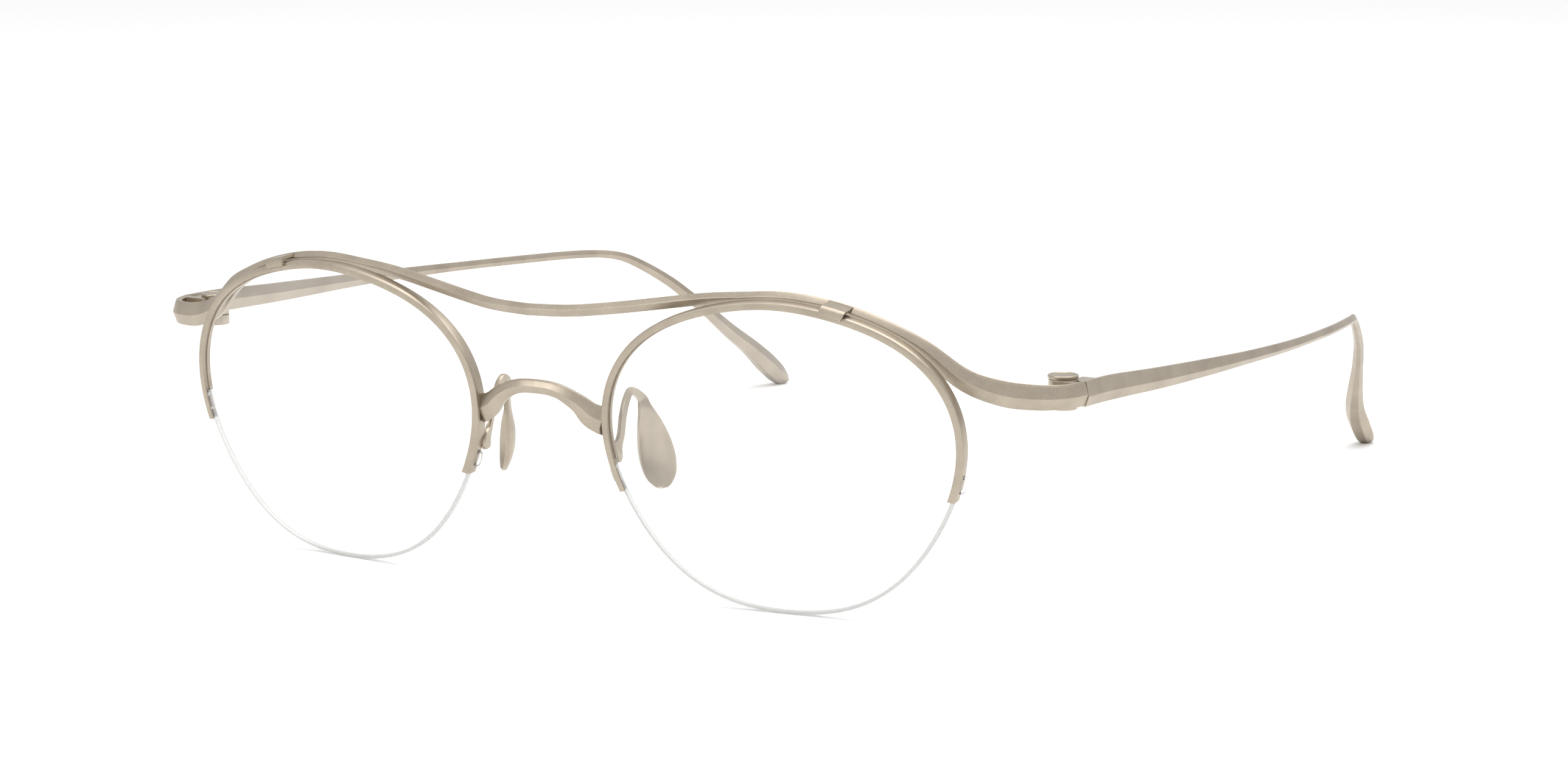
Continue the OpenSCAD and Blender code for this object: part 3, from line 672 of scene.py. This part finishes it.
def temple(side):
    x0 = HINGE_X + WALL_X - TEMPLE_T / 2
    ear = np.array([HINGE_X - 3, BEND_Y + 3, -7])
    tip = np.array([HINGE_X - 14.3, BEND_Y + 36.6, 0.5 - FLOOR_Z])
    stops = [(x0 - 0.15, FACE_GAP - SEAM_REACH, -1.95), (x0, 0.06 * BEND_Y, -2.15),
             (x0 + 0.6, 0.21 * BEND_Y, -2.95), (x0 + 1.1, 0.42 * BEND_Y, -3.8),
             (x0 + 0.4, 0.62 * BEND_Y, -4.65), (HINGE_X + 2, 0.82 * BEND_Y, -5.5),
             (HINGE_X - 0.7, BEND_Y - 3.5, -6.15), tuple(ear)]
    # Shares of the way from ear to tip
    for d in [(0.133, 0.14, 0.078), (0.3, 0.31, 0.215), (0.442, 0.425, 0.34), (0.593, 0.535, 0.47),
              (0.735, 0.635, 0.6), (0.87, 0.745, 0.725), (0.945, 0.855, 0.85), (1, 1, 1)]:
        stops.append(tuple(ear + (tip - ear) * d))
    route = eased(smooth(stops, 16), 8)
    n = len(route) - 1
    # Share of the way along, height, thickness and depth of the side's slopes
    sizes = np.array([
        (0, TEMPLE_H, TEMPLE_T, 0.42), (0.071, TEMPLE_H, TEMPLE_T, 0.42),
        (0.143, 0.83 * TEMPLE_H, TEMPLE_T, 0.42), (0.214, 0.54 * TEMPLE_H, TEMPLE_T - 0.1, 0.42),
        (0.286, WIRE_D + 0.1, WIRE_D, 0.38), (0.43, WIRE_D, WIRE_D, 0.38),
        (0.571, WIRE_D + 0.35, WIRE_D + 0.25, 0.42), (0.714, WIRE_D + 0.65, WIRE_D + 0.55, 0.55),
        (0.857, 0.8 * TIP_W, 0.8 * TIP_T, 0.75), (0.93, TIP_W, TIP_T, 0.95),
        (0.975, 0.97 * TIP_W, 0.97 * TIP_T, 0.95), (1, 0.66 * TIP_W, 0.66 * TIP_T, 0.6)])
    ways = travel(route)
    ways[0] = np.array([0, 1, 0])
    share = np.arange(n + 1) / n
    grown = [eased(np.interp(share, sizes[:, 0], sizes[:, k])[:, None], 6)[:, 0] for k in (1, 2, 3)]
    # The tip is ground flat where it rests, level with the lenses' lowest points
    rest = (-math.inf, -math.inf, -FLOOR_Z)
    rings = [[np.maximum(p, rest) for p in lay(at, t, leaf_section(h, w, s))]
             for at, t, h, w, s in zip(route, ways, *grown)]
    made = shaped(f"temple_piece_{side}", skin(rings), [blasted], SIDES[side])
    made.data.set_sharp_from_angle(angle=SHARP)
    return settled(made, f"temple_{side}", "titanium_frame", f"temple_{side}")


brow_bar()
bridge_arch()
for side in SIDES:
    for make in (rim, rim_liner, lens, nylon_cord, bar_clip, nose_pad, hinge_front, hinge_rear,
                 hinge_screw, hinge_washers, temple):
        make(side)

# ---- floor, light and camera ----
floor_mesh = bmesh.new()
bmesh.ops.create_grid(floor_mesh, x_segments=1, y_segments=1, size=3)
floor_data = bpy.data.meshes.new("floor")
floor_mesh.to_mesh(floor_data)
floor_mesh.free()
paper, paper_tree, _ = finish("white_paper")
add(paper_tree, "ShaderNodeOutputMaterial", {"Surface": add(paper_tree, "ShaderNodeBsdfPrincipled", {
    "Base Color": paint("#F6F6F6"), "Roughness": 0.9, "Specular IOR Level": 0.1}).outputs[0]})
floor_data.materials.append(paper)
floor = bpy.data.objects.new("floor", floor_data)
bpy.context.scene.collection.objects.link(floor)

scene = bpy.context.scene
world = scene.world or bpy.data.worlds.new("studio")
scene.world = world
world.use_nodes = True
world.node_tree.nodes.clear()
way_up = add(world.node_tree, "ShaderNodeSeparateXYZ", {
    "Vector": add(world.node_tree, "ShaderNodeTexCoord").outputs["Generated"]})
sky = add(world.node_tree, "ShaderNodeValToRGB", {"Fac": add(world.node_tree, "ShaderNodeMapRange", {
    "Value": way_up.outputs["Z"], "From Min": -0.2, "From Max": 1}).outputs["Result"]})
sky.color_ramp.elements[0].color = (0.80, 0.80, 0.80, 1)
sky.color_ramp.elements[1].color = (1, 1, 1, 1)
add(world.node_tree, "ShaderNodeOutputWorld", {"Surface": add(world.node_tree, "ShaderNodeBackground", {
    "Color": sky.outputs["Color"], "Strength": 0.95}).outputs[0]})


def softbox(name, place, target, size, power):
    lamp = bpy.data.lights.new(name, "AREA")
    lamp.shape, lamp.size, lamp.energy = "SQUARE", size, power
    made = bpy.data.objects.new(name, lamp)
    made.location = place
    made.rotation_euler = (Vector(target) - Vector(place)).to_track_quat("-Z", "Y").to_euler()
    scene.collection.objects.link(made)


softbox("overhead softbox", (0.1, 0.05, 0.7), (0, 0, 0.02), 0.7, 3.6)
softbox("front softbox", (-0.35, -0.8, 0.5), (0, -0.02, 0.02), 0.5, 2.0)

camera = bpy.data.objects.new("camera", bpy.data.cameras.new("camera"))
camera.data.lens, camera.data.sensor_width = 100.6, 36
camera.data.clip_start, camera.data.clip_end = 0.01, 20
AZIMUTH, ELEVATION, ROLL = math.radians(30.167), math.radians(10.03), math.radians(-0.044)
CAMERA_AT = (307.3, -484.4, 93.2)
camera.rotation_euler = (math.pi / 2 - ELEVATION, ROLL, AZIMUTH)
camera.location = Vector(CAMERA_AT) * MM + ORIGIN
scene.collection.objects.link(camera)
scene.camera = camera
scene.view_settings.view_transform = "Standard"
